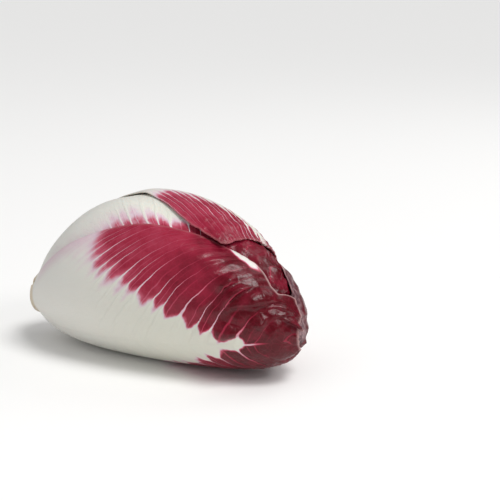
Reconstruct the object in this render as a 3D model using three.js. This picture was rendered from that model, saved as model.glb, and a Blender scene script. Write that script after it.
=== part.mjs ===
// Head of red endive lying on its side: cut base towards -X, tip towards +X, +Z up, millimetres.
// Every leaf is one closed body. All leaves lie on nested shells of one head shape: a leaf sits as deep
// as the leaves outside it are thick, and rises again just past their margins.
import * as THREE from 'three';

// head shape
const headLength = 120;        // cut face to tip
const headRadius = 32;         // at the widest station
const widestStation = 55;      // distance of the widest section from the cut face
const baseRun = 54.8;          // length over which the radius closes towards the base
const baseFullness = [2.13, 1.59];
const tipFullness = [1.92, 1.72];
const baseRadius = 8.6;        // radius where the outer leaves leave the core
const baseDroop = 13.9;        // how far the axis drops at the base
const tipDroop = 13.5;         // how far the axis drops at the tip
const sideways = 5.5;          // how far both ends swing towards -Y
const bellyRatio = 0.965;      // height of the flattened belly over the radius
const bellyCorner = 24;        // how sharply the flat belly meets the round flank
const bellyTrim = 0.4;         // depth trimmed flat at the resting spot
const baseStep = 0.7;          // how far a shell one millimetre deeper starts up the core
const tipStep = 1.0;           // how far a shell one millimetre deeper stops short of the tip

// core
const coreRadius = 7.3;
const coreDisc = 1.6;          // straight part behind the cut face
const coreLength = 38;
const coreTipRadius = 2.4;

// leaves
const leafGap = 0.95;          // clearance between neighbouring leaves
const coreGap = 0.4;           // clearance between a leaf's foot and the core
const marginRamp = [24, 46];   // degrees past a margin in which the next leaf rises, first and last leaf
const endRamp = [0.08, 0.2];   // stations past a leaf end in which the next leaf rises, first and last leaf
const ribRoot = 0.16;          // station at which a midrib has its full thickness

// angle 0 is the top, 90 the -Y flank, 180 the belly; spans are degrees either side of the midrib,
// at the foot and at the widest; flare draws the minus margin in and then spreads it near the tip;
// reach and round give the station of the tip and how far the margins fall short of it
const leaves = [
  { name: 'leaf_01_back_top', angle: -28, drift: 0, minus: [30, 62], plus: [24, 54], widen: [0.35, 0.64],
    reach: 0.705, round: 0.035, blade: 0.9, rib: 3.4, rows: 12, cols: 12, colour: 0x9f5b69 },
  { name: 'leaf_02_front', angle: 129, drift: -26, minus: [68, 100], plus: [72, 96], widen: [0.2, 0.85],
    flare: [-9, 34], reach: 0.965, round: 0.05, blade: 0.9, rib: 4.2, rows: 22, cols: 18, colour: 0x943d4a },
  { name: 'leaf_03_back_low', angle: -113, drift: 0, minus: [66, 76], plus: [58, 96], widen: [0.66, 0.84],
    reach: 0.985, round: 0.05, blade: 0.9, rib: 4.2, rows: 18, cols: 16, colour: 0x8a3646 },
  { name: 'leaf_04_top', angle: 0, drift: 6, minus: [70, 90], plus: [74, 92], widen: [0.2, 0.8],
    reach: 0.88, round: 0.13, blade: 0.9, rib: 4, rows: 15, cols: 16, colour: 0xcfa9b2 },
  { name: 'leaf_05', angle: 146, drift: 0, minus: [68, 92], plus: [68, 92], widen: [0.2, 0.8],
    reach: 0.93, round: 0.12, blade: 0.9, rib: 4, rows: 13, cols: 14, colour: 0x9a4656 },
  { name: 'leaf_06', angle: -82, drift: 0, minus: [68, 94], plus: [68, 96], widen: [0.2, 0.8],
    reach: 0.93, round: 0.13, blade: 0.9, rib: 3.9, rows: 13, cols: 14, colour: 0x9a4656 },
  { name: 'leaf_07', angle: 56, drift: 0, minus: [68, 92], plus: [68, 92], widen: [0.2, 0.8],
    reach: 0.94, round: 0.14, blade: 0.9, rib: 3.8, rows: 14, cols: 16, colour: 0xa44c5c },
  { name: 'leaf_08', angle: 193, drift: 0, minus: [68, 92], plus: [68, 92], widen: [0.2, 0.8],
    reach: 0.93, round: 0.14, blade: 0.9, rib: 3.7, rows: 11, cols: 14, colour: 0xa44c5c },
  { name: 'leaf_09', angle: -30, drift: 0, minus: [68, 90], plus: [68, 90], widen: [0.2, 0.8],
    reach: 0.93, round: 0.15, blade: 0.9, rib: 3.6, rows: 14, cols: 16, colour: 0xb0606f },
  { name: 'leaf_10', angle: 108, drift: 0, minus: [68, 90], plus: [68, 90], widen: [0.2, 0.8],
    reach: 0.92, round: 0.16, blade: 0.9, rib: 3.4, rows: 11, cols: 14, colour: 0xb0606f },
  { name: 'leaf_11', angle: -115, drift: 0, minus: [66, 88], plus: [66, 88], widen: [0.2, 0.8],
    reach: 0.92, round: 0.16, blade: 0.85, rib: 3.2, rows: 10, cols: 14, colour: 0xbd7582 },
  { name: 'leaf_12', angle: 22, drift: 0, minus: [66, 86], plus: [66, 86], widen: [0.2, 0.8],
    reach: 0.91, round: 0.17, blade: 0.85, rib: 3, rows: 12, cols: 16, colour: 0xbd7582 },
  { name: 'leaf_13', angle: 160, drift: 0, minus: [64, 84], plus: [64, 84], widen: [0.2, 0.8],
    reach: 0.91, round: 0.17, blade: 0.85, rib: 2.8, rows: 10, cols: 14, colour: 0xc98d97 },
  { name: 'leaf_14', angle: -62, drift: 0, minus: [64, 84], plus: [64, 84], widen: [0.2, 0.8],
    reach: 0.9, round: 0.18, blade: 0.85, rib: 2.6, rows: 11, cols: 14, colour: 0xc98d97 },
  { name: 'leaf_15', angle: 75, drift: 0, minus: [62, 82], plus: [62, 82], widen: [0.2, 0.8],
    reach: 0.89, round: 0.18, blade: 0.8, rib: 2.4, rows: 10, cols: 14, colour: 0xd7a9b0 },
  { name: 'leaf_16', angle: -148, drift: 0, minus: [62, 82], plus: [62, 82], widen: [0.2, 0.8],
    reach: 0.88, round: 0.18, blade: 0.8, rib: 2.2, rows: 10, cols: 14, colour: 0xd7a9b0 },
];
const budRows = 12;
const budCols = 14;

const clamp = (v, lo, hi) => Math.min(hi, Math.max(lo, v));
const wrap = (deg) => ((((deg + 180) % 360) + 360) % 360) - 180;
function ease(from, to, v) {
  const u = clamp((v - from) / (to - from), 0, 1);
  return u * u * (3 - 2 * u);
}

// radius of the whole head at a distance from the cut face
function headProfile(x) {
  const [power, root] = x < widestStation ? baseFullness : tipFullness;
  const run = x < widestStation ? baseRun : headLength - widestStation;
  const away = clamp(Math.abs(widestStation - x) / run, 0, 1);
  const radius = headRadius * (1 - away ** power) ** (1 / root);
  return x < widestStation ? (radius ** 4 + baseRadius ** 4) ** 0.25 : radius;
}

// distance along the axis and radius on the shell at a depth; stations run 0 at the base to 1 at the tip
function onShell(station, depth) {
  const along = (1 - Math.cos(Math.PI * station)) / 2;
  const from = baseStep * depth;
  const to = headLength - tipStep * depth;
  return [from + (to - from) * along, headProfile(headLength * along) * (1 - depth / headRadius)];
}

// flattening of the belly as a factor on the radius
function bellyFactor(angle) {
  const down = -Math.cos(angle * Math.PI / 180);
  if (down <= 0) return 1;
  return (1 + (down / bellyRatio) ** bellyCorner) ** (-1 / bellyCorner);
}

// bend of the head: both ends drop and swing towards -Y
function bend(x, y, z) {
  const droop = x < widestStation
    ? baseDroop * ((widestStation - x) / widestStation) ** 2
    : tipDroop * ((x - widestStation) / (headLength - widestStation)) ** 2;
  return new THREE.Vector3(x - headLength / 2, y - sideways * (2 * x / headLength - 1) ** 2, z - droop);
}

function shellPoint(station, angle, depth) {
  const [x, radius] = onShell(station, depth);
  const turn = angle * Math.PI / 180;
  const r = radius * bellyFactor(angle);
  return bend(x, -r * Math.sin(turn), r * Math.cos(turn));
}

function coreRadiusAt(x) {
  if (x <= coreDisc) return coreRadius;
  const u = clamp((x - coreDisc) / (coreLength - coreDisc), 0, 1);
  return coreRadius + (coreTipRadius - coreRadius) * u;
}

// leaf outline: midrib angle, half width on one side, station of the far edge
const midribAngle = (leaf, station) => leaf.angle + leaf.drift * station ** 2;
function halfWidth(leaf, station, side) {
  const [foot, widest] = side < 0 ? leaf.minus : leaf.plus;
  const [draw, spread] = side < 0 && leaf.flare ? leaf.flare : [0, 0];
  return foot + (widest - foot) * ease(leaf.widen[0], leaf.widen[1], station)
    + draw * ease(0.76, 0.82, station) + spread * ease(0.825, 0.865, station);
}
const farEdge = (leaf, across) => leaf.reach - leaf.round * Math.abs(across) ** 2.2;

function thickness(leaf, station, across) {
  const wide = 0.8 - 0.55 * station;
  const rib = (1 - ease(0, wide, Math.abs(across))) * ease(0, ribRoot, station) * (1 - ease(0.5, 0.9, station));
  return leaf.blade + (leaf.rib - leaf.blade) * rib;
}

// how much room one leaf takes from the leaves inside it
function room(leaf, order, station, angle) {
  const [sideRamp, tipRamp] = [marginRamp, endRamp].map(([a, b]) => a + ((b - a) * order) / (leaves.length - 1));
  const off = wrap(angle - midribAngle(leaf, station));
  const across = off / halfWidth(leaf, station, off);
  const inside = clamp(across, -1, 1);
  const past = Math.abs(off) - halfWidth(leaf, station, off);
  const share = (1 - ease(0, sideRamp, past)) * (1 - ease(0, tipRamp, station - farEdge(leaf, inside)));
  return share * (thickness(leaf, station, inside) + leafGap);
}
const depthUnder = (count, station, angle) =>
  leaves.slice(0, count).reduce((sum, leaf, order) => sum + room(leaf, order, station, angle), 0);

// first station at which the whole foot of a leaf clears the core
function footStation(index) {
  const leaf = leaves[index];
  for (let station = 0.05; station < 0.6; station += 0.004) {
    let clear = true;
    for (let across = -1; across <= 1; across += 0.25) {
      const angle = midribAngle(leaf, station) + across * halfWidth(leaf, station, across);
      const depth = depthUnder(index, station, angle) + thickness(leaf, station, across);
      const [x, radius] = onShell(station, depth);
      if (radius * bellyFactor(angle) < coreRadiusAt(x) + coreGap) clear = false;
    }
    if (clear) return station;
  }
  return 0.6;
}

function closedMesh(name, points, triangles, colour, roughness) {
  const geometry = new THREE.BufferGeometry();
  geometry.setAttribute('position', new THREE.Float32BufferAttribute(points.flatMap((p) => p.toArray()), 3));
  geometry.setIndex(triangles);
  geometry.computeVertexNormals();
  const material = new THREE.MeshStandardMaterial({ color: colour, roughness, metalness: 0 });
  const mesh = new THREE.Mesh(geometry, material);
  mesh.name = name;
  return mesh;
}

function leafMesh(index) {
  const leaf = leaves[index];
  const { rows, cols } = leaf;
  const foot = footStation(index);
  const outer = [];
  const inner = [];
  for (let i = 0; i <= rows; i += 1) {
    for (let j = 0; j <= cols; j += 1) {
      const across = (2 * j) / cols - 1;
      const station = foot + (i / rows) * (farEdge(leaf, across) - foot);
      const angle = midribAngle(leaf, station) + across * halfWidth(leaf, station, across);
      const depth = depthUnder(index, station, angle);
      outer.push(shellPoint(station, angle, depth));
      inner.push(shellPoint(station, angle, depth + thickness(leaf, station, across)));
    }
  }
  const points = outer.concat(inner);
  const count = outer.length;
  const at = (i, j) => i * (cols + 1) + j;
  const triangles = [];
  const quad = (a, b, c, d) => triangles.push(a, b, c, a, c, d);
  for (let i = 0; i < rows; i += 1) {
    for (let j = 0; j < cols; j += 1) {
      quad(at(i, j), at(i, j + 1), at(i + 1, j + 1), at(i + 1, j));
      quad(count + at(i, j), count + at(i + 1, j), count + at(i + 1, j + 1), count + at(i, j + 1));
    }
  }
  for (let j = 0; j < cols; j += 1) {
    quad(at(0, j), count + at(0, j), count + at(0, j + 1), at(0, j + 1));
    quad(at(rows, j), at(rows, j + 1), count + at(rows, j + 1), count + at(rows, j));
  }
  for (let i = 0; i < rows; i += 1) {
    quad(at(i, 0), at(i + 1, 0), count + at(i + 1, 0), count + at(i, 0));
    quad(at(i, cols), count + at(i, cols), count + at(i + 1, cols), at(i + 1, cols));
  }
  return closedMesh(leaf.name, points, triangles, leaf.colour, 0.45);
}

// closed body of rings between two end points
function ringBody(name, rings, first, last, colour, roughness) {
  const cols = rings[0].length;
  const points = [first, ...rings.flat(), last];
  const end = points.length - 1;
  const at = (i, j) => 1 + i * cols + (j % cols);
  const triangles = [];
  for (let j = 0; j < cols; j += 1) {
    triangles.push(0, at(0, j + 1), at(0, j));
    triangles.push(end, at(rings.length - 1, j), at(rings.length - 1, j + 1));
    for (let i = 0; i < rings.length - 1; i += 1) {
      triangles.push(at(i, j), at(i, j + 1), at(i + 1, j + 1), at(i, j), at(i + 1, j + 1), at(i + 1, j));
    }
  }
  return closedMesh(name, points, triangles, colour, roughness);
}

function ringAt(x, radius, cols) {
  return Array.from({ length: cols }, (_, j) => {
    const turn = (2 * Math.PI * j) / cols;
    return bend(x, -radius * Math.sin(turn), radius * Math.cos(turn));
  });
}

function coreMesh() {
  const stations = [0, coreDisc, 6, 12, 18, 24, 31, coreLength];
  const rings = stations.map((x) => ringAt(x, coreRadiusAt(x), 28));
  return ringBody('core', rings, bend(0, 0, 0), bend(coreLength + 1, 0, 0), 0xd0c3b3, 0.7);
}

// folded heart inside the last leaf, on a shell deeper than every leaf
function budMesh() {
  let depth = 0;
  for (let station = 0.35; station < 0.9; station += 0.02) {
    for (let angle = -180; angle < 180; angle += 10) {
      depth = Math.max(depth, depthUnder(leaves.length, station, angle));
    }
  }
  depth = Math.min(depth + leafGap, headRadius - 3);
  let foot = 0.2;
  while (onShell(foot, depth)[0] < coreLength + 2) foot += 0.01;
  const rings = [];
  for (let i = 0; i < budRows; i += 1) {
    const [x, radius] = onShell(foot + (0.99 - foot) * (i / (budRows - 1)), depth);
    rings.push(ringAt(x, radius * bellyRatio * (i === 0 ? 0.7 : 1), budCols));
  }
  const [start] = onShell(foot, depth);
  return ringBody('heart', rings, bend(start - 0.4, 0, 0), bend(onShell(1, depth)[0], 0, 0), 0xe3d9c4, 0.5);
}

// trim the underside flat and stand the head on its resting spot
function trimAndPlace(meshes) {
  const box = new THREE.Box3();
  for (const mesh of meshes) box.union(new THREE.Box3().setFromBufferAttribute(mesh.geometry.getAttribute('position')));
  const floor = box.min.z + bellyTrim;
  box.makeEmpty();
  for (const mesh of meshes) {
    const position = mesh.geometry.getAttribute('position');
    for (let i = 0; i < position.count; i += 1) position.setZ(i, Math.max(floor, position.getZ(i)));
    box.union(new THREE.Box3().setFromBufferAttribute(position));
  }
  for (const mesh of meshes) {
    mesh.geometry.translate(-(box.min.x + box.max.x) / 2, -(box.min.y + box.max.y) / 2, -floor);
    mesh.geometry.computeVertexNormals();
  }
}

const head = new THREE.Group();
head.name = 'red_endive';
const meshes = [coreMesh(), ...leaves.map((_, index) => leafMesh(index)), budMesh()];
trimAndPlace(meshes);
meshes.forEach((mesh) => head.add(mesh));

export default head;
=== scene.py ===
import math
import bpy
import bmesh
import numpy as np
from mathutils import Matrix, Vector, noise


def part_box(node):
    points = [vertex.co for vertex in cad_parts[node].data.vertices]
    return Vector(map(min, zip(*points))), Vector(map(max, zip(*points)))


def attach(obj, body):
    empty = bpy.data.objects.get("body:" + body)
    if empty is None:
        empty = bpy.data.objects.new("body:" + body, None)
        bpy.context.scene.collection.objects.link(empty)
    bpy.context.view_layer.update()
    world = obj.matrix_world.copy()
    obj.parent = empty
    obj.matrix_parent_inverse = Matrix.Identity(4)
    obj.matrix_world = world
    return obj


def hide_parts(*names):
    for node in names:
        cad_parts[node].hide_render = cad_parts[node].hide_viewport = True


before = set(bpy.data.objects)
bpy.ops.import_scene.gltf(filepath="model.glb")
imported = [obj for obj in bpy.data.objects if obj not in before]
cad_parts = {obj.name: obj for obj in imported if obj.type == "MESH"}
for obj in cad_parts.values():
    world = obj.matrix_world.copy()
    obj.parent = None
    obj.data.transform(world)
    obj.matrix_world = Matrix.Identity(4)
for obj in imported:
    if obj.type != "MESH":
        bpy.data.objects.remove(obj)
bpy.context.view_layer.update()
print("frame loaded")

# the head's shape in millimetres, as the solids have it
head = {
    "length": 120.0, "radius": 32.0, "widest": 55.0, "baseRun": 54.8, "baseRadius": 8.6,
    "baseFullness": (2.13, 1.59), "tipFullness": (1.92, 1.72),
    "baseDroop": 13.9, "tipDroop": 13.5, "sideways": 5.5,
    "bellyRatio": 0.965, "bellyCorner": 24.0, "baseStep": 0.7, "tipStep": 1.0,
    "leafGap": 0.95, "sideRamp": (24.0, 46.0), "endRamp": (0.08, 0.2), "ribRoot": 0.16,
    "coreRadius": 7.3, "coreDisc": 1.6, "coreLength": 38.0, "coreTipRadius": 2.4, "coreGap": 0.4,
}

# angle 0 is the top, 90 the -Y flank, 180 the belly; spans are degrees either side of the midrib
leaves = [
    dict(name="leaf_01_back_top", angle=-28, drift=0, minus=(30, 62), plus=(24, 54), widen=(0.35, 0.64),
         reach=0.705, round=0.035, blade=0.9, rib=3.4, cols=150, rows=170),
    dict(name="leaf_02_front", angle=129, drift=-26, minus=(68, 100), plus=(72, 96), widen=(0.2, 0.85),
         reach=0.965, round=0.05, flare=(-9, 34), blade=0.9, rib=4.2, cols=200, rows=220),
    dict(name="leaf_03_back_low", angle=-113, drift=0, minus=(66, 76), plus=(58, 96), widen=(0.66, 0.84),
         reach=0.985, round=0.05, blade=0.9, rib=4.2, cols=150, rows=180),
    dict(name="leaf_04_top", angle=0, drift=6, minus=(70, 90), plus=(74, 92), widen=(0.2, 0.8),
         reach=0.88, round=0.13, blade=0.9, rib=4.0, cols=140, rows=150),
    dict(name="leaf_05", angle=146, reach=0.93, round=0.12, rib=4.0),
    dict(name="leaf_06", angle=-82, minus=(68, 94), plus=(68, 96), reach=0.93, round=0.13, rib=3.9),
    dict(name="leaf_07", angle=56, reach=0.94, round=0.14, rib=3.8, cols=120, rows=130),
    dict(name="leaf_08", angle=193, reach=0.93, round=0.14, rib=3.7),
    dict(name="leaf_09", angle=-30, minus=(68, 90), plus=(68, 90), reach=0.93, round=0.15, rib=3.6,
         cols=120, rows=130),
    dict(name="leaf_10", angle=108, minus=(68, 90), plus=(68, 90), reach=0.92, round=0.16, rib=3.4),
    dict(name="leaf_11", angle=-115, minus=(66, 88), plus=(66, 88),
         reach=0.92, round=0.16, blade=0.85, rib=3.2),
    dict(name="leaf_12", angle=22, minus=(66, 86), plus=(66, 86), reach=0.91, round=0.17, blade=0.85, rib=3.0,
         cols=110, rows=120),
    dict(name="leaf_13", angle=160, minus=(64, 84), plus=(64, 84),
         reach=0.91, round=0.17, blade=0.85, rib=2.8),
    dict(name="leaf_14", angle=-62, minus=(64, 84), plus=(64, 84),
         reach=0.90, round=0.18, blade=0.85, rib=2.6),
    dict(name="leaf_15", angle=75, minus=(62, 82), plus=(62, 82), reach=0.89, round=0.18, blade=0.8, rib=2.4),
    dict(name="leaf_16", angle=-148, minus=(62, 82), plus=(62, 82),
         reach=0.88, round=0.18, blade=0.8, rib=2.2),
]
usualLeaf = dict(drift=0, flare=(0, 0), minus=(68, 92), plus=(68, 92), widen=(0.2, 0.8), blade=0.9,
                 cols=70, rows=80)
leaves = [{**usualLeaf, **leaf} for leaf in leaves]


def ease(low, high, value):
    share = np.clip((value - low) / (high - low), 0, 1)
    return share * share * (3 - 2 * share)


def wrapTurn(degrees):
    return (degrees + 180) % 360 - 180


def headProfile(x):
    lower = x < head["widest"]
    run = np.where(lower, head["baseRun"], head["length"] - head["widest"])
    away = np.clip(np.abs(head["widest"] - x) / run, 0, 1)
    power = np.where(lower, head["baseFullness"][0], head["tipFullness"][0])
    root = np.where(lower, head["baseFullness"][1], head["tipFullness"][1])
    radius = head["radius"] * (1 - away ** power) ** (1 / root)
    return np.where(lower, (radius ** 4 + head["baseRadius"] ** 4) ** 0.25, radius)


def onShell(station, depth):
    along = (1 - np.cos(np.pi * station)) / 2
    start = head["baseStep"] * depth
    stop = head["length"] - head["tipStep"] * depth
    return start + (stop - start) * along, headProfile(head["length"] * along) * (1 - depth / head["radius"])


def bellyFactor(angle):
    down = np.maximum(-np.cos(np.radians(angle)), 0)
    return (1 + (down / head["bellyRatio"]) ** head["bellyCorner"]) ** (-1 / head["bellyCorner"])


def bend(x, y, z):
    early = head["baseDroop"] * ((head["widest"] - x) / head["widest"]) ** 2
    late = head["tipDroop"] * ((x - head["widest"]) / (head["length"] - head["widest"])) ** 2
    droop = np.where(x < head["widest"], early, late)
    swing = head["sideways"] * (2 * x / head["length"] - 1) ** 2
    return np.stack([x - head["length"] / 2, y - swing, z - droop], axis=-1)


coreLow = np.array(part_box("core")[0]) * 1000  # the core's box says where the head stands
standing = coreLow - np.array([-head["length"] / 2, -head["sideways"] - head["coreRadius"],
                               -head["baseDroop"] - head["coreRadius"]])
floorLevel = 0.0


def placed(points):
    points = points + standing
    points[:, 2] = np.maximum(points[:, 2], floorLevel)
    return points / 1000


def coreRadiusAt(x):
    share = np.clip((x - head["coreDisc"]) / (head["coreLength"] - head["coreDisc"]), 0, 1)
    return head["coreRadius"] + (head["coreTipRadius"] - head["coreRadius"]) * share


def midribAngle(leaf, station):
    return leaf["angle"] + leaf["drift"] * station ** 2


def halfWidth(leaf, station, side):
    share = ease(leaf["widen"][0], leaf["widen"][1], station)
    low = leaf["minus"][0] + (leaf["minus"][1] - leaf["minus"][0]) * share
    high = leaf["plus"][0] + (leaf["plus"][1] - leaf["plus"][0]) * share
    low = low + leaf["flare"][0] * ease(0.76, 0.82, station) + leaf["flare"][1] * ease(0.825, 0.865, station)
    return np.where(side < 0, low, high)


def farEdge(leaf, across):
    return leaf["reach"] - leaf["round"] * np.abs(across) ** 2.2


def thickness(leaf, station, across):
    rib = (1 - ease(0, 0.8 - 0.55 * station, np.abs(across))) * ease(0, head["ribRoot"], station)
    return leaf["blade"] + (leaf["rib"] - leaf["blade"]) * rib * (1 - ease(0.5, 0.9, station))


def leafShare(order, station, angle):
    leaf = leaves[order]
    part = order / (len(leaves) - 1)
    ramps = [head[key] for key in ("sideRamp", "endRamp")]
    sideRamp, endRamp = [low + (high - low) * part for low, high in ramps]
    off = wrapTurn(angle - midribAngle(leaf, station))
    half = halfWidth(leaf, station, off)
    inside = np.clip(off / half, -1, 1)
    beside = 1 - ease(0, sideRamp, np.abs(off) - half)
    beyond = 1 - ease(0, endRamp, station - farEdge(leaf, inside))
    return beside * beyond, inside


def depthUnder(count, station, angle):
    depth = np.zeros_like(station)
    bare = np.ones_like(station)  # 1 where no leaf lies outside
    for order in range(count):
        share, inside = leafShare(order, station, angle)
        depth += share * (thickness(leaves[order], station, inside) + head["leafGap"])
        bare *= ease(0, 0.15, 1 - share)
    return depth, bare


def footStation(order):
    leaf = leaves[order]
    across = np.linspace(-1, 1, 9)
    for station in np.arange(0.05, 0.6, 0.004):
        here = np.full_like(across, station)
        angle = midribAngle(leaf, here) + across * halfWidth(leaf, here, across)
        depth = depthUnder(order, here, angle)[0]
        x, radius = onShell(here, depth + thickness(leaf, here, across))
        if np.all(radius * bellyFactor(angle) >= coreRadiusAt(x) + head["coreGap"]):
            return station
    return 0.6


# relief that all leaves share, in millimetres; each leaf's own figures stand in leafLooks
relief = {
    "quilt": 0.46,       # swelling of the blade between side veins
    "ribCrown": 0.25,    # rounding of the white rib
    "wave": 0.45,        # waving of the margins
    "edgeThin": 0.45,    # share of the blade's thickness left at the very margin
    "edgeBand": 2.0,
    "gapShare": 0.4,     # most a covered leaf may move inside its gap
    "hug": 0.85,         # how far a margin bends down onto the leaf beneath
    "hugBand": 7.0,
    "hugUneven": (0.8, 0.5, 16.0),       # usual share, how much it varies, size of the patches
    "tuckBand": 9.0, "tuckZone": (0.82, 0.9),
    "endTravel": 1.57,   # way along the shell for each station, in head lengths
}
veins = {"uneven": 0.16, "unevenTurn": 2.4, "stray": 0.12, "straySize": 9.0}
creases = {"size": 6.0, "smallSize": 2.6, "share": 0.65, "smallShare": 0.3, "ribShare": 0.25}
ridges = {"size": 3.4, "along": 0.25, "across": 0.35, "zone": (0.5, 0.68)}
blisters = {"zone": (0.62, 0.72), "near": (3, 14), "far": (62, 84), "base": 0.35, "swell": 2.4}
frontRib = {"angle": 126.5, "turn": 55.0, "power": 4}
ragged = {"coarse": (9, 0.5), "fine": (23, 0.3), "depth": 0.004}
# where the painted areas lie: millimetres from the cut, degrees round, millimetres from the margin
areas = {
    "rimBand": 1.1, "rimShare": 0.25, "rimFrom": (94, 102),
    "lensAt": (95.5, 20.0), "lensSize": (8.0, 7.5), "lensUneven": 0.5, "lensFade": (0.55, 1.0),
    # tintAndShade band: lilac tinge with painted shade along the front leaf's upper margin
    "tintAndShadeBand": (0.5, 8), "tintAndShadeStart": (6, 16), "tintAndShadeEnd": (38, 50),
    "dryAcross": (0.8, 0.88), "dryZone": (0.78, 0.83), "dryBand": (3, 6), "dryFrom": (0.76, 0.82),
}

# the white rib narrows by slope degrees for each millimetre up to end; side veins lean away from it
usualLook = dict(slope=0.7, end=103.0, close=95.0, veinEnd=102.0, start=20.0, lean=84.0, squeeze=0.65,
                 gap=7.3, phase=61.0, fadeFrom=34.0, fadeTo=50.0, tongue=20.0, strength=1.0,
                 crumple=0.0, crumpleFrom=0.7, crumpleTo=0.85, ridge=0.0, quilt=1.0, blister=0.0,
                 tuck=0.0, hug=1.0, seed=3.0)
leafLooks = {
    "leaf_01_back_top": dict(slope=0.5, end=105.0, close=140.0, lean=150.0, squeeze=0.5, gap=6.4,
                             phase=8.0, strength=0.93, hug=1.3, fadeFrom=50.0, fadeTo=60.0, ridge=0.22,
                             crumple=0.9, crumpleFrom=0.46, crumpleTo=0.68, seed=11.0),
    "leaf_02_front": dict(slope=0.85, end=108.0, close=113.0, phase=53.0, fadeFrom=41.0, fadeTo=52.0,
                          blister=2.4, crumple=0.4, crumpleFrom=0.68, crumpleTo=0.82, seed=2.0),
    "leaf_03_back_low": dict(slope=0.8, end=109.0, tuck=2.5, crumple=0.7, crumpleFrom=0.72, crumpleTo=0.86,
                             seed=23.0),
    "leaf_04_top": dict(slope=0.55, end=117.0, close=80.0, veinEnd=80.0, gap=6.6, fadeFrom=38.0,
                        fadeTo=56.0, tongue=9.0, strength=0.95, crumple=2.0,
                        crumpleFrom=0.6, crumpleTo=0.74, seed=31.0),
    "leaf_05": dict(crumple=0.7, seed=41.0),
    "leaf_06": dict(crumple=0.9, seed=43.0),
    "leaf_07": dict(crumple=1.2, seed=47.0),
    "leaf_09": dict(crumple=1.3, seed=53.0),
    "leaf_12": dict(crumple=1.2, seed=59.0),
}


def look(leaf):
    return {**usualLook, **leafLooks.get(leaf["name"], {})}


def ribLine(leaf, station):  # the line the side veins leave from
    if leaf["name"] == "leaf_02_front":
        return frontRib["angle"] - frontRib["turn"] * station ** frontRib["power"]
    return midribAngle(leaf, station)


def noiseAt(points, size, seed, octaves=1):
    shift = Vector((seed * 7.31, seed * 3.17, seed * 5.93))
    flat = [Vector(p) / size + shift for p in points]
    if octaves == 1:
        return np.array([noise.noise(p) for p in flat])
    return np.array([noise.fractal(p, 1.0, 2.1, octaves) for p in flat])


def veinPhase(figures, x, off):
    lateral = (np.abs(off) - figures["start"]) / 100
    spread = (x - figures["lean"] * lateral) / np.maximum(1 - figures["squeeze"] * lateral, 0.2)
    return (spread - figures["phase"]) / figures["gap"]


def leafRelief(leaf, station, across, x, off, points, bare):
    figures = look(leaf)
    ribHalf = figures["slope"] * np.maximum(figures["end"] - x, 0)
    ribHalf = ribHalf * (1 - ease(-8, 2, x - figures["close"]))
    blade = ease(0, 10, np.abs(off) - ribHalf)
    turn = veinPhase(figures, x, off)
    stray = veins["stray"] * noiseAt(points, veins["straySize"], figures["seed"])
    turn = turn + veins["uneven"] * np.sin(veins["unevenTurn"] * turn) + stray
    middle = 1 - np.abs(2 * (turn % 1) - 1)  # 0 on a vein, 1 half way between two
    rise = relief["quilt"] * figures["quilt"] * blade * np.sqrt(middle)
    rise *= 0.3 + 0.7 * ease(0.5, 0.85, station)
    rise += relief["ribCrown"] * (1 - blade) * ease(8, 30, x)
    rise += relief["wave"] * ease(0.8, 1, np.abs(across)) * noiseAt(points, 11, figures["seed"] + 1)
    if figures["ridge"]:
        spots = np.stack([x * ridges["along"], off * ridges["across"], off * 0], axis=-1)
        folds = 1 - 2 * np.sqrt(np.abs(noiseAt(spots, ridges["size"], figures["seed"])))
        rise += figures["ridge"] * ease(*ridges["zone"], station) * folds
    if figures["crumple"]:
        crease = 1 - 2.4 * np.abs(noiseAt(points, creases["size"], figures["seed"] + 2)) ** 0.8
        small = 1 - 2.2 * np.abs(noiseAt(points, creases["smallSize"], figures["seed"] + 4))
        folds = creases["share"] * crease + creases["smallShare"] * small
        onBlade = creases["ribShare"] + (1 - creases["ribShare"]) * blade
        reached = ease(figures["crumpleFrom"], figures["crumpleTo"], station)
        rise += figures["crumple"] * reached * folds * onBlade
    if figures["blister"]:
        zone = ease(*blisters["zone"], station) * ease(*blisters["near"], -off)
        zone = zone * (1 - ease(*blisters["far"], -off))
        swell = np.stack([turn * 0.9, off * 0.05, off * 0], axis=-1)
        swell = blisters["base"] + blisters["swell"] * noiseAt(swell, 1.0, figures["seed"] + 8)
        swell = np.clip(swell, 0, 1)
        rise += figures["blister"] * zone * swell * np.sqrt(middle)
    covered = np.clip(rise, -relief["gapShare"], relief["gapShare"])
    return covered + (rise - covered) * ease(0.1, 0.8, bare)


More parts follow.
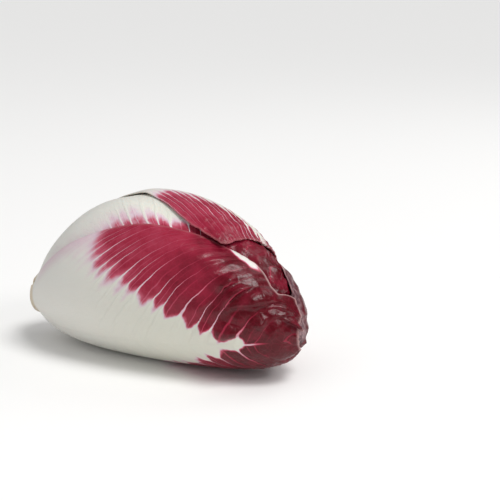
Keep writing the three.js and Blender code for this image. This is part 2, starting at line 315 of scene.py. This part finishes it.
def leafPiece(order):
    leaf = leaves[order]
    figures = look(leaf)
    bm = bmesh.new()
    bmesh.ops.create_grid(bm, x_segments=leaf["cols"], y_segments=leaf["rows"], size=0.5)
    skin = bmesh.ops.extrude_face_region(bm, geom=bm.faces[:])
    raised = [item for item in skin["geom"] if isinstance(item, bmesh.types.BMVert)]
    bmesh.ops.translate(bm, vec=(0, 0, 1), verts=raised)
    bmesh.ops.recalc_face_normals(bm, faces=bm.faces[:])
    bm.loops.layers.uv.new("leafMap")
    mesh = bpy.data.meshes.new(leaf["name"] + "_skin")
    bm.to_mesh(mesh)
    bm.free()

    flat = np.empty(len(mesh.vertices) * 3)
    mesh.vertices.foreach_get("co", flat)
    flat = flat.reshape(-1, 3)
    across = np.clip(2 * flat[:, 0], -1, 1)
    along = np.clip(flat[:, 1] + 0.5, 0, 1)
    outer = flat[:, 2] > 0.5

    foot = footStation(order)
    frill = np.sin(across * ragged["coarse"][0] + order) * ragged["coarse"][1]
    frill += np.sin(across * ragged["fine"][0] + order * 2.3) * ragged["fine"][1]
    station = foot + along * (farEdge(leaf, across) + ragged["depth"] * frill - foot)
    half = halfWidth(leaf, station, across)
    angle = midribAngle(leaf, station) + across * half
    depth, bare = depthUnder(order, station, angle)
    x, radius = onShell(station, depth)
    off = wrapTurn(angle - ribLine(leaf, station))
    turn = np.radians(angle)
    shape = radius * bellyFactor(angle)
    points = np.stack([x, -shape * np.sin(turn), shape * np.cos(turn)], axis=-1)
    sideGap = (1 - np.abs(across)) * np.radians(half) * radius
    endGap = (farEdge(leaf, across) - station) * head["length"] * relief["endTravel"]
    endGap = endGap * np.sin(np.pi * np.clip(station, 0.1, 0.9))
    edge = np.minimum(sideGap, np.maximum(endGap, 0))

    rise = leafRelief(leaf, station, across, x, off, points, bare)
    thin = relief["edgeThin"] + (1 - relief["edgeThin"]) * ease(0, relief["edgeBand"], edge)
    hug = relief["hug"] * (1 - ease(0, relief["hugBand"], edge)) * ease(0.06, 0.2, along)
    usual, varies, size = relief["hugUneven"]
    hug = hug * figures["hug"] * (usual + varies * noiseAt(points, size, figures["seed"] + 6))
    hug += figures["tuck"] * (1 - ease(0, relief["tuckBand"], edge)) * ease(*relief["tuckZone"], station)
    depth = depth + hug - rise + np.where(outer, 0, thickness(leaf, station, across) * thin)
    x, radius = onShell(station, depth)
    shape = radius * bellyFactor(angle)
    shaped = placed(bend(x, -shape * np.sin(turn), shape * np.cos(turn)))
    mesh.vertices.foreach_set("co", shaped.ravel())

    corners = np.empty(len(mesh.loops), dtype=np.int64)
    mesh.loops.foreach_get("vertex_index", corners)
    leafMap = np.stack([x / head["length"], 0.5 + off / 360], axis=-1)[corners]
    mesh.uv_layers["leafMap"].data.foreach_set("uv", leafMap.ravel())
    # paleRimGlint: a pale band along every margin, stronger towards the tip; part the margin's own paleness,
    # part painted highlight where light catches the edge
    rimAmount = areas["rimShare"] + (1 - areas["rimShare"]) * ease(*areas["rimFrom"], x)
    marks = {"paleRimGlint": (1 - ease(0, areas["rimBand"], edge)) * rimAmount,
             "inside": np.where(outer, 0.0, 1.0), "pale": x * 0, "dry": x * 0, "tintAndShade": x * 0}
    if leaf["name"] == "leaf_02_front":
        lens = np.hypot((x - areas["lensAt"][0]) / areas["lensSize"][0],
                        (angle - areas["lensAt"][1]) / areas["lensSize"][1])
        marks["pale"] = 1 - ease(*areas["lensFade"], lens + areas["lensUneven"] * noiseAt(points, 4, 5))
        # tintAndShade: lilac band along the front leaf's upper margin near the base, part pink tinge and part
        # painted shade along the edge
        stretch = ease(*areas["tintAndShadeStart"], x) * (1 - ease(*areas["tintAndShadeEnd"], x))
        marks["tintAndShade"] = (across < 0) * (1 - ease(*areas["tintAndShadeBand"], edge)) * stretch
    if leaf["name"] == "leaf_03_back_low":
        strip = ease(*areas["dryAcross"], across) * ease(*areas["dryZone"], station)
        marks["dry"] = np.maximum(strip, 1 - ease(*areas["dryBand"], edge)) * ease(*areas["dryFrom"], station)
    for key, values in marks.items():
        mesh.attributes.new(key, "FLOAT", "POINT").data.foreach_set("value", values.astype(np.float32))
    mesh.polygons.foreach_set("use_smooth", np.ones(len(mesh.polygons), dtype=bool))
    mesh.update()

    piece = bpy.data.objects.new(leaf["name"] + "_skin", mesh)
    bpy.context.collection.objects.link(piece)
    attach(piece, "root")
    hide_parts(leaf["name"])
    return piece


# small helpers for node trees
def addNode(tree, kind, **settings):
    node = tree.nodes.new(kind)
    for key, value in settings.items():
        setattr(node, key, value)
    return node


def feed(tree, value, socket):
    if isinstance(value, bpy.types.NodeSocket):
        tree.links.new(value, socket)
    else:
        socket.default_value = value


def calc(tree, operation, *values, clamp=False):
    node = addNode(tree, "ShaderNodeMath", operation=operation, use_clamp=clamp)
    for index, value in enumerate(values):
        feed(tree, value, node.inputs[index])
    return node.outputs[0]


def rise(tree, value, low, high, start=0.0, stop=1.0):
    node = addNode(tree, "ShaderNodeMapRange", interpolation_type="SMOOTHSTEP")
    for index, entry in enumerate((value, low, high, start, stop)):
        feed(tree, entry, node.inputs[index])
    return node.outputs[0]


def mixColour(tree, factor, first, second):
    node = addNode(tree, "ShaderNodeMix", data_type="RGBA")
    feed(tree, factor, node.inputs[0])
    feed(tree, first, node.inputs[6])
    feed(tree, second, node.inputs[7])
    return node.outputs[2]


def tone(red, green, blue):
    parts = [c / 255 for c in (red, green, blue)]
    return tuple(c / 12.92 if c < 0.04045 else ((c + 0.055) / 1.055) ** 2.4 for c in parts) + (1.0,)


patternInputs = ("slope", "end", "close", "veinEnd", "start", "lean", "squeeze", "gap", "phase", "fadeFrom",
                 "fadeTo", "tongue", "strength", "seed")


def patternGroup():
    tree = bpy.data.node_groups.new("leafPattern", "ShaderNodeTree")
    face = tree.interface
    for name, kind in (("Map", "Vector"), ("Place", "Vector")):
        face.new_socket(name, in_out="INPUT", socket_type="NodeSocket" + kind)
    for name in patternInputs:
        face.new_socket(name, in_out="INPUT", socket_type="NodeSocketFloat")
    for name in ("Pigment", "Vein", "Mesh", "Height"):
        face.new_socket(name, in_out="OUTPUT", socket_type="NodeSocketFloat")
    given = addNode(tree, "NodeGroupInput").outputs
    result = addNode(tree, "NodeGroupOutput").inputs

    parts = addNode(tree, "ShaderNodeSeparateXYZ")
    tree.links.new(given["Map"], parts.inputs[0])
    x = calc(tree, "MULTIPLY", parts.outputs[0], head["length"])
    off = calc(tree, "ABSOLUTE", calc(tree, "MULTIPLY_ADD", parts.outputs[1], 360.0, -180.0))
    place = addNode(tree, "ShaderNodeVectorMath", operation="ADD")
    tree.links.new(given["Place"], place.inputs[0])
    tree.links.new(given["seed"], place.inputs[1])

    def cloud(scale, detail=2.0):
        node = addNode(tree, "ShaderNodeTexNoise")
        tree.links.new(place.outputs[0], node.inputs["Vector"])
        node.inputs["Scale"].default_value = scale
        node.inputs["Detail"].default_value = detail
        return calc(tree, "SUBTRACT", node.outputs[0], 0.5)

    broad, middling, small = cloud(55.0), cloud(190.0), cloud(700.0, 3.0)
    lateral = calc(tree, "DIVIDE", calc(tree, "SUBTRACT", off, given["start"]), 100.0)
    spread = calc(tree, "DIVIDE",
                  calc(tree, "SUBTRACT", x, calc(tree, "MULTIPLY", given["lean"], lateral)),
                  calc(tree, "MAXIMUM", calc(tree, "SUBTRACT", 1.0,
                                             calc(tree, "MULTIPLY", given["squeeze"], lateral)), 0.2))
    spread = calc(tree, "MULTIPLY_ADD", broad, 3.4, calc(tree, "MULTIPLY_ADD", middling, 1.6, spread))
    turn = calc(tree, "DIVIDE", calc(tree, "SUBTRACT", spread, given["phase"]), given["gap"])
    uneven = calc(tree, "SINE", calc(tree, "MULTIPLY", turn, veins["unevenTurn"]))
    turn = calc(tree, "MULTIPLY_ADD", uneven, veins["uneven"], turn)
    between = calc(tree, "PINGPONG", turn, 0.5)   # 0 on a side vein, 0.5 half way to the next
    veinGap = calc(tree, "MULTIPLY", between, given["gap"])
    minor = calc(tree, "PINGPONG", calc(tree, "ADD", turn, 0.5), 0.5)
    minorGap = calc(tree, "MULTIPLY", minor, given["gap"])

    ribHalf = calc(tree, "MULTIPLY", given["slope"],
                   calc(tree, "MAXIMUM", calc(tree, "SUBTRACT", given["end"], x), 0.0))
    ribHalf = calc(tree, "MULTIPLY", ribHalf,
                   rise(tree, calc(tree, "SUBTRACT", x, given["close"]), -8.0, 2.0, 1.0, 0.0))
    past = calc(tree, "SUBTRACT", off, ribHalf)
    past = calc(tree, "MULTIPLY_ADD", broad, 7.0, past)
    shut = calc(tree, "MINIMUM", given["end"], calc(tree, "ADD", given["close"], 6.0))
    past = calc(tree, "ADD", past, rise(tree, calc(tree, "SUBTRACT", x, shut), -2.0, 5.0, 0.0, 16.0))
    width = calc(tree, "MULTIPLY_ADD", calc(tree, "EXPONENT", calc(tree, "DIVIDE", calc(
        tree, "MAXIMUM", past, 0.0), -9.0)), 0.75, 0.2)
    veinEdge = calc(tree, "MULTIPLY", width, 0.35)
    vein = calc(tree, "SUBTRACT", 1.0, rise(tree, veinGap, veinEdge, width))
    vein = calc(tree, "MULTIPLY", vein, rise(tree, past, 10.0, 58.0, 0.92, 0.16))
    minorVein = calc(tree, "SUBTRACT", 1.0, rise(tree, minorGap, 0.05, 0.4))
    minorVein = calc(tree, "MULTIPLY", minorVein, rise(tree, past, 3.0, 45.0, 0.36, 0.05))
    vein = calc(tree, "MAXIMUM", vein, minorVein)
    spot = calc(tree, "MULTIPLY_ADD", broad, 14.0, x)
    started = rise(tree, spot, given["fadeFrom"], given["fadeTo"])
    vein = calc(tree, "MULTIPLY", vein, calc(tree, "MULTIPLY", started, rise(
        tree, calc(tree, "SUBTRACT", x, given["veinEnd"]), 0.0, 8.0, 1.0, 0.25)))
    midVein = calc(tree, "SUBTRACT", 1.0, rise(tree, off, 0.4, 2.2))
    midVein = calc(tree, "MULTIPLY", midVein,
                   rise(tree, calc(tree, "SUBTRACT", x, given["veinEnd"]), 5.0, 12.0, 0.9, 0.0))
    vein = calc(tree, "MAXIMUM", vein, midVein)

    cells = addNode(tree, "ShaderNodeTexVoronoi", feature="DISTANCE_TO_EDGE")
    tree.links.new(place.outputs[0], cells.inputs["Vector"])
    cells.inputs["Scale"].default_value = 430.0
    net = calc(tree, "SUBTRACT", 1.0, rise(tree, cells.outputs[0], 0.0, 0.09))

    tongue = calc(tree, "MULTIPLY_ADD", calc(tree, "SUBTRACT", between, 0.25), given["tongue"], past)
    tongue = calc(tree, "MULTIPLY_ADD", middling, 16.0, tongue)
    blur = rise(tree, x, 42.0, 88.0, 22.0, 4.0)   # soft near the base, crisp near the tip
    edge = rise(tree, tongue, calc(tree, "MULTIPLY", blur, -0.6), blur)
    ripe = calc(tree, "MULTIPLY_ADD", broad, 30.0, x)   # darker towards the tip
    pigment = calc(tree, "MULTIPLY", edge, rise(tree, ripe, 68.0, 110.0, 0.7, 1.0))
    pigment = calc(tree, "MULTIPLY", pigment, calc(tree, "MULTIPLY_ADD", started, 0.86, 0.14))
    pigment = calc(tree, "MULTIPLY", pigment, given["strength"])
    pigment = calc(tree, "MULTIPLY_ADD", calc(tree, "MULTIPLY", middling, pigment), 0.35, pigment)
    pigment = calc(tree, "MULTIPLY", pigment, calc(tree, "MULTIPLY_ADD", vein, -0.86, 1.0), clamp=True)
    pigment = calc(tree, "MULTIPLY", pigment, calc(tree, "MULTIPLY_ADD", net, -0.035, 1.0), clamp=True)

    height = calc(tree, "MULTIPLY_ADD", vein, 0.5, calc(tree, "MULTIPLY", small, 0.25))
    height = calc(tree, "MULTIPLY_ADD", net, -0.12, calc(tree, "MULTIPLY_ADD", middling, 0.5, height))
    for name, value in (("Pigment", pigment), ("Vein", vein), ("Mesh", net), ("Height", height)):
        tree.links.new(value, result[name])
    return tree


leafPattern = patternGroup()

# paleRimGlint is a pale margin tone that also paints the highlight of light catching the edge
skinTones = {
    "white": tone(220, 218, 211), "green": tone(208, 210, 186), "lilac": tone(214, 186, 197),
    "pink": tone(188, 84, 106), "red": tone(150, 34, 58), "deep": tone(82, 2, 16),
    # tintAndShade: lilac tinge with painted shade along the front leaf's upper margin
    "tintAndShade": tone(210, 184, 194), "paleRimGlint": tone(214, 178, 176), "dry": tone(88, 52, 60),
    "husk": tone(146, 116, 118), "cut": tone(205, 186, 158),
}

skinFinish = {"roughWhite": 0.5, "roughRed": 0.3, "roughDry": 0.25, "bump": 0.5, "bumpDepth": 0.0005,
              "subsurface": 0.12, "subsurfaceScale": 0.0015, "specular": 0.25, "coatRoughness": 0.2,
              "coatBase": 0.03, "coatTip": 0.12, "insidePaler": 0.45, "paleRimGlint": 0.55, "tintAndShade": 0.7, "dry": 0.9}


def leafSkin(leaf):
    figures = look(leaf)
    material = bpy.data.materials.new(leaf["name"] + "_skin")
    material.use_nodes = True
    tree = material.node_tree
    tree.nodes.clear()
    leafMap = addNode(tree, "ShaderNodeUVMap", uv_map="leafMap").outputs[0]
    place = addNode(tree, "ShaderNodeTexCoord").outputs["Object"]
    pattern = addNode(tree, "ShaderNodeGroup", node_tree=leafPattern)
    feed(tree, leafMap, pattern.inputs["Map"])
    feed(tree, place, pattern.inputs["Place"])
    for key in patternInputs:
        pattern.inputs[key].default_value = figures[key]
    marks = {key: addNode(tree, "ShaderNodeAttribute", attribute_name=key).outputs["Fac"]
             for key in ("paleRimGlint", "pale", "dry", "tintAndShade", "inside")}
    parts = addNode(tree, "ShaderNodeSeparateXYZ")
    tree.links.new(leafMap, parts.inputs[0])
    pigment = calc(tree, "MULTIPLY", pattern.outputs["Pigment"], calc(tree, "SUBTRACT", 1.0, marks["pale"]))
    pigment = calc(tree, "MULTIPLY", pigment, calc(
        tree, "MULTIPLY_ADD", marks["inside"], -skinFinish["insidePaler"], 1.0))

    ramp = addNode(tree, "ShaderNodeValToRGB")
    stops = ramp.color_ramp.elements
    stops[0].position, stops[0].color = 0.0, skinTones["white"]
    stops[1].position, stops[1].color = 1.0, skinTones["deep"]
    for position, name in ((0.16, "lilac"), (0.42, "pink"), (0.72, "red")):
        stops.new(position).color = skinTones[name]
    tree.links.new(pigment, ramp.inputs[0])
    green = calc(tree, "MULTIPLY", rise(tree, pattern.outputs["Pigment"], 0.0, 0.1, 0.35, 0.0),
                 rise(tree, parts.outputs[0], 0.2, 0.7))
    colour = mixColour(tree, green, ramp.outputs[0], skinTones["green"])
    # pale margin colour with a painted highlight of light catching the edge
    paleRimGlint = calc(tree, "MULTIPLY", marks["paleRimGlint"], skinFinish["paleRimGlint"])
    colour = mixColour(tree, paleRimGlint, colour, skinTones["paleRimGlint"])
    # lilac tinge with painted shade along the front leaf's upper margin
    tintAndShade = calc(tree, "MULTIPLY", marks["tintAndShade"], skinFinish["tintAndShade"])
    colour = mixColour(tree, tintAndShade, colour, skinTones["tintAndShade"])
    wrinkle = addNode(tree, "ShaderNodeTexNoise")
    wrinkle.inputs["Scale"].default_value = 480.0
    wrinkle.inputs["Detail"].default_value = 4.0
    tree.links.new(place, wrinkle.inputs["Vector"])
    wrinkled = rise(tree, wrinkle.outputs[0], 0.4, 0.62)
    dryTone = mixColour(tree, wrinkled, skinTones["dry"], skinTones["husk"])
    colour = mixColour(tree, calc(tree, "MULTIPLY", marks["dry"], skinFinish["dry"]), colour, dryTone)
    foot = rise(tree, parts.outputs[0], 0.012, 0.03, 0.7, 0.0)
    colour = mixColour(tree, foot, colour, skinTones["cut"])

    rough = rise(tree, pattern.outputs["Pigment"], 0.05, 0.6,
                 skinFinish["roughWhite"], skinFinish["roughRed"])
    rough = calc(tree, "MULTIPLY_ADD", marks["dry"], skinFinish["roughDry"], rough)
    bump = addNode(tree, "ShaderNodeBump")
    bump.inputs["Strength"].default_value = skinFinish["bump"]
    bump.inputs["Distance"].default_value = skinFinish["bumpDepth"]
    tree.links.new(pattern.outputs["Height"], bump.inputs["Height"])
    shader = addNode(tree, "ShaderNodeBsdfPrincipled")
    tree.links.new(colour, shader.inputs["Base Color"])
    tree.links.new(rough, shader.inputs["Roughness"])
    tree.links.new(bump.outputs[0], shader.inputs["Normal"])
    shader.inputs["Subsurface Weight"].default_value = skinFinish["subsurface"]
    shader.inputs["Subsurface Radius"].default_value = (1.0, 0.6, 0.5)
    shader.inputs["Subsurface Scale"].default_value = skinFinish["subsurfaceScale"]
    coat = rise(tree, parts.outputs[0], 0.68, 0.84, skinFinish["coatBase"], skinFinish["coatTip"])
    tree.links.new(coat, shader.inputs["Coat Weight"])
    shader.inputs["Specular IOR Level"].default_value = skinFinish["specular"]
    shader.inputs["Coat Roughness"].default_value = skinFinish["coatRoughness"]
    target = addNode(tree, "ShaderNodeOutputMaterial")
    tree.links.new(shader.outputs[0], target.inputs["Surface"])
    return material


sharedSkins = {}
for order, leaf in enumerate(leaves):
    piece = leafPiece(order)
    key = leaf["name"] if leaf["name"] in leafLooks else "leaf_inner"
    if key not in sharedSkins:
        sharedSkins[key] = leafSkin({**leaf, "name": key})
    piece.data.materials.append(sharedSkins[key])
print("leaves made")

core = {"segments": 96, "burrAngle": 38.0, "burrWidth": 13.0, "burrHeight": 1.6, "unevenness": 0.25}


def corePiece():
    bm = bmesh.new()
    stations = [0.0, 0.0, 0.35, 1.0, 1.6, 4, 8, 12, 16, 20, 24, 28, 32, 36, head["coreLength"]]
    radii = [3.6, 6.6] + [float(coreRadiusAt(np.array(x))) for x in stations[2:]]
    line = [bm.verts.new((0, 0, 0))] + [bm.verts.new((x, 0, r)) for x, r in zip(stations, radii)]
    line.append(bm.verts.new((head["coreLength"] + 1, 0, 0)))
    edges = [bm.edges.new(pair) for pair in zip(line[:-1], line[1:])]
    bmesh.ops.spin(bm, geom=line + edges, cent=(0, 0, 0), axis=(1, 0, 0), angle=math.tau,
                   steps=core["segments"], use_merge=True)
    bmesh.ops.remove_doubles(bm, verts=bm.verts[:], dist=1e-4)
    bmesh.ops.subdivide_edges(bm, edges=[e for e in bm.edges if max(v.co.x for v in e.verts) < 0.2], cuts=2,
                              use_grid_fill=True)
    bmesh.ops.recalc_face_normals(bm, faces=bm.faces[:])
    for vert in bm.verts:
        x, y, z = vert.co
        turn = math.degrees(math.atan2(-y, z))
        radius = math.hypot(y, z)
        burr = math.exp(-((turn - core["burrAngle"]) / core["burrWidth"]) ** 2) * max(0.0, 1 - x / 1.5)
        grow = 1 + core["burrHeight"] * burr * (radius / head["coreRadius"]) ** 3 / head["coreRadius"]
        lump = core["unevenness"] * noise.noise(Vector((x * 0.3, y * 0.35, z * 0.35))) * max(0.0, 1 - x / 3)
        vert.co = Vector(placed(bend(np.array([x + lump]), np.array([y * grow]), np.array([z * grow])))[0])
    mesh = bpy.data.meshes.new("core_flesh")
    bm.to_mesh(mesh)
    bm.free()
    mesh.polygons.foreach_set("use_smooth", np.ones(len(mesh.polygons), dtype=bool))
    piece = bpy.data.objects.new("core_flesh", mesh)
    bpy.context.collection.objects.link(piece)
    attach(piece, "root")
    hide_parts("core")
    return piece


def coreFlesh():
    material = bpy.data.materials.new("coreFlesh")
    material.use_nodes = True
    tree = material.node_tree
    shader = tree.nodes["Principled BSDF"]
    place = addNode(tree, "ShaderNodeTexCoord").outputs["Object"]
    grain = addNode(tree, "ShaderNodeTexNoise")
    grain.inputs["Scale"].default_value = 420.0
    grain.inputs["Detail"].default_value = 4.0
    tree.links.new(place, grain.inputs["Vector"])
    blotch = addNode(tree, "ShaderNodeTexNoise")
    blotch.inputs["Scale"].default_value = 160.0
    tree.links.new(place, blotch.inputs["Vector"])
    patches = rise(tree, blotch.outputs[0], 0.35, 0.7)
    colour = mixColour(tree, patches, tone(222, 208, 184), tone(190, 162, 124))
    colour = mixColour(tree, rise(tree, grain.outputs[0], 0.55, 0.75), colour, tone(150, 118, 84))
    bump = addNode(tree, "ShaderNodeBump")
    bump.inputs["Strength"].default_value = 0.6
    bump.inputs["Distance"].default_value = 0.0006
    tree.links.new(grain.outputs[0], bump.inputs["Height"])
    tree.links.new(colour, shader.inputs["Base Color"])
    tree.links.new(rise(tree, grain.outputs[0], 0.3, 0.7, 0.55, 0.8), shader.inputs["Roughness"])
    tree.links.new(bump.outputs[0], shader.inputs["Normal"])
    shader.inputs["Subsurface Weight"].default_value = 0.15
    shader.inputs["Subsurface Scale"].default_value = 0.002
    return material


corePiece().data.materials.append(coreFlesh())
print("core made")

bud = {"segments": 72, "rings": 60, "folds": 5, "foldDepth": 0.35}


def heartPiece():
    low, high = (np.array(corner) * 1000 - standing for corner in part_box("heart"))
    start, stop = low[0] + head["length"] / 2, high[0] + head["length"] / 2
    widest = (high[1] - low[1]) / 2 - 0.4
    bm = bmesh.new()
    bmesh.ops.create_uvsphere(bm, u_segments=bud["segments"], v_segments=bud["rings"], radius=1.0)
    for vert in bm.verts:
        x, y, z = vert.co.z, vert.co.y, vert.co.x
        turn = math.atan2(-y, z)
        fold = 1 - bud["foldDepth"] * 0.12 * abs(math.sin(bud["folds"] * turn + 3 * x))
        reach = start + (stop - start) * (x + 1) / 2
        radius = widest * math.hypot(y, z) ** 0.75 * fold
        ring = np.array([reach]), np.array([-radius * math.sin(turn)]), np.array([radius * math.cos(turn)])
        vert.co = Vector(placed(bend(*ring))[0])
    bmesh.ops.recalc_face_normals(bm, faces=bm.faces[:])
    mesh = bpy.data.meshes.new("heart_leaves")
    bm.to_mesh(mesh)
    bm.free()
    mesh.polygons.foreach_set("use_smooth", np.ones(len(mesh.polygons), dtype=bool))
    piece = bpy.data.objects.new("heart_leaves", mesh)
    bpy.context.collection.objects.link(piece)
    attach(piece, "root")
    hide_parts("heart")
    return piece


def heartSkin():
    material = bpy.data.materials.new("heartSkin")
    material.use_nodes = True
    tree = material.node_tree
    shader = tree.nodes["Principled BSDF"]
    place = addNode(tree, "ShaderNodeTexCoord").outputs["Object"]
    parts = addNode(tree, "ShaderNodeSeparateXYZ")
    tree.links.new(place, parts.inputs[0])
    streak = addNode(tree, "ShaderNodeTexNoise")
    streak.inputs["Scale"].default_value = 260.0
    tree.links.new(place, streak.inputs["Vector"])
    tip = rise(tree, calc(tree, "MULTIPLY_ADD", streak.outputs[0], 0.012, parts.outputs[0]), 0.012, 0.045)
    colour = mixColour(tree, tip, tone(232, 226, 196), tone(176, 70, 90))
    tree.links.new(colour, shader.inputs["Base Color"])
    tree.links.new(rise(tree, streak.outputs[0], 0.3, 0.7, 0.4, 0.55), shader.inputs["Roughness"])
    shader.inputs["Subsurface Weight"].default_value = 0.15
    shader.inputs["Subsurface Scale"].default_value = 0.002
    return material


heartPiece().data.materials.append(heartSkin())
print("heart made")

studio = {
    "azimuth": 36.0, "elevation": 15.0, "distance": 450.0, "lens": 85.4,
    "look": (-3.2, 0.0, 0.0), "aimRight": 32.3, "aimUp": 8.7,  # millimetres from the head's widest section
    "floorTone": tone(247, 246, 244), "worldTone": (0.97, 0.98, 1.0), "worldStrength": 0.48,
    "glossStrength": 0.1, "backdrop": 0.9,
    "sun": {"azimuth": 85.0, "elevation": 62.0, "strength": 1.7, "spread": 24.0},
    "lamps": (
        {"name": "keyLamp", "azimuth": 82.0, "elevation": 38.0, "distance": 0.9, "size": 0.2, "power": 1.6},
        {"name": "fillLamp", "azimuth": -20.0, "elevation": 35.0, "distance": 1.0, "size": 0.9, "power": 0.5},
        {"name": "rimLamp", "azimuth": 160.0, "elevation": 45.0, "distance": 0.9, "size": 0.4, "power": 0.8},
    ),
}


def towards(azimuth, elevation):
    az, el = math.radians(azimuth), math.radians(elevation)
    return Vector((math.sin(az) * math.cos(el), -math.cos(az) * math.cos(el), math.sin(el)))


def aimAt(item, target):
    item.rotation_euler = (target - item.location).to_track_quat("-Z", "Y").to_euler()


def makeStudio():
    scene = bpy.context.scene
    middle = Vector(studio["look"]) + Vector(standing)
    back = towards(studio["azimuth"], studio["elevation"])
    az = math.radians(studio["azimuth"])
    right = Vector((math.cos(az), math.sin(az), 0))
    up = back.cross(right)
    camera = bpy.data.objects.new("camera", bpy.data.cameras.new("camera"))
    bpy.context.collection.objects.link(camera)
    camera.data.lens = studio["lens"]
    camera.data.sensor_width = 36.0
    camera.data.clip_start = 0.01
    camera.location = (middle + back * studio["distance"]) / 1000
    aimAt(camera, (middle + right * studio["aimRight"] + up * studio["aimUp"]) / 1000)
    scene.camera = camera

    bm = bmesh.new()
    bmesh.ops.create_grid(bm, x_segments=1, y_segments=1, size=20.0)
    mesh = bpy.data.meshes.new("floor")
    bm.to_mesh(mesh)
    bm.free()
    floor = bpy.data.objects.new("floor", mesh)
    bpy.context.collection.objects.link(floor)
    paint = bpy.data.materials.new("floorPaint")
    paint.use_nodes = True
    paint.node_tree.nodes["Principled BSDF"].inputs["Base Color"].default_value = studio["floorTone"]
    paint.node_tree.nodes["Principled BSDF"].inputs["Roughness"].default_value = 0.7
    mesh.materials.append(paint)

    for lamp in studio["lamps"]:
        data = bpy.data.lights.new(lamp["name"], "AREA")
        data.energy, data.size = lamp["power"], lamp["size"]
        item = bpy.data.objects.new(lamp["name"], data)
        bpy.context.collection.objects.link(item)
        item.location = towards(lamp["azimuth"], lamp["elevation"]) * lamp["distance"]
        aimAt(item, Vector((0, 0, 0.03)))

    sun = bpy.data.lights.new("softSun", "SUN")
    sun.energy, sun.angle = studio["sun"]["strength"], math.radians(studio["sun"]["spread"])
    item = bpy.data.objects.new("softSun", sun)
    bpy.context.collection.objects.link(item)
    item.location = towards(studio["sun"]["azimuth"], studio["sun"]["elevation"])
    aimAt(item, Vector((0, 0, 0)))

    world = bpy.data.worlds.new("world")
    world.use_nodes = True
    world.node_tree.nodes["Background"].inputs[0].default_value = studio["worldTone"] + (1.0,)
    path = addNode(world.node_tree, "ShaderNodeLightPath")
    shine = rise(world.node_tree, path.outputs["Is Glossy Ray"], 0.0, 1.0, studio["worldStrength"],
                 studio["glossStrength"])
    strength = rise(world.node_tree, path.outputs["Is Camera Ray"], 0.0, 1.0, shine, studio["backdrop"])
    world.node_tree.links.new(strength, world.node_tree.nodes["Background"].inputs[1])
    scene.world = world
    scene.view_settings.view_transform = "Standard"


makeStudio()
print("studio made")
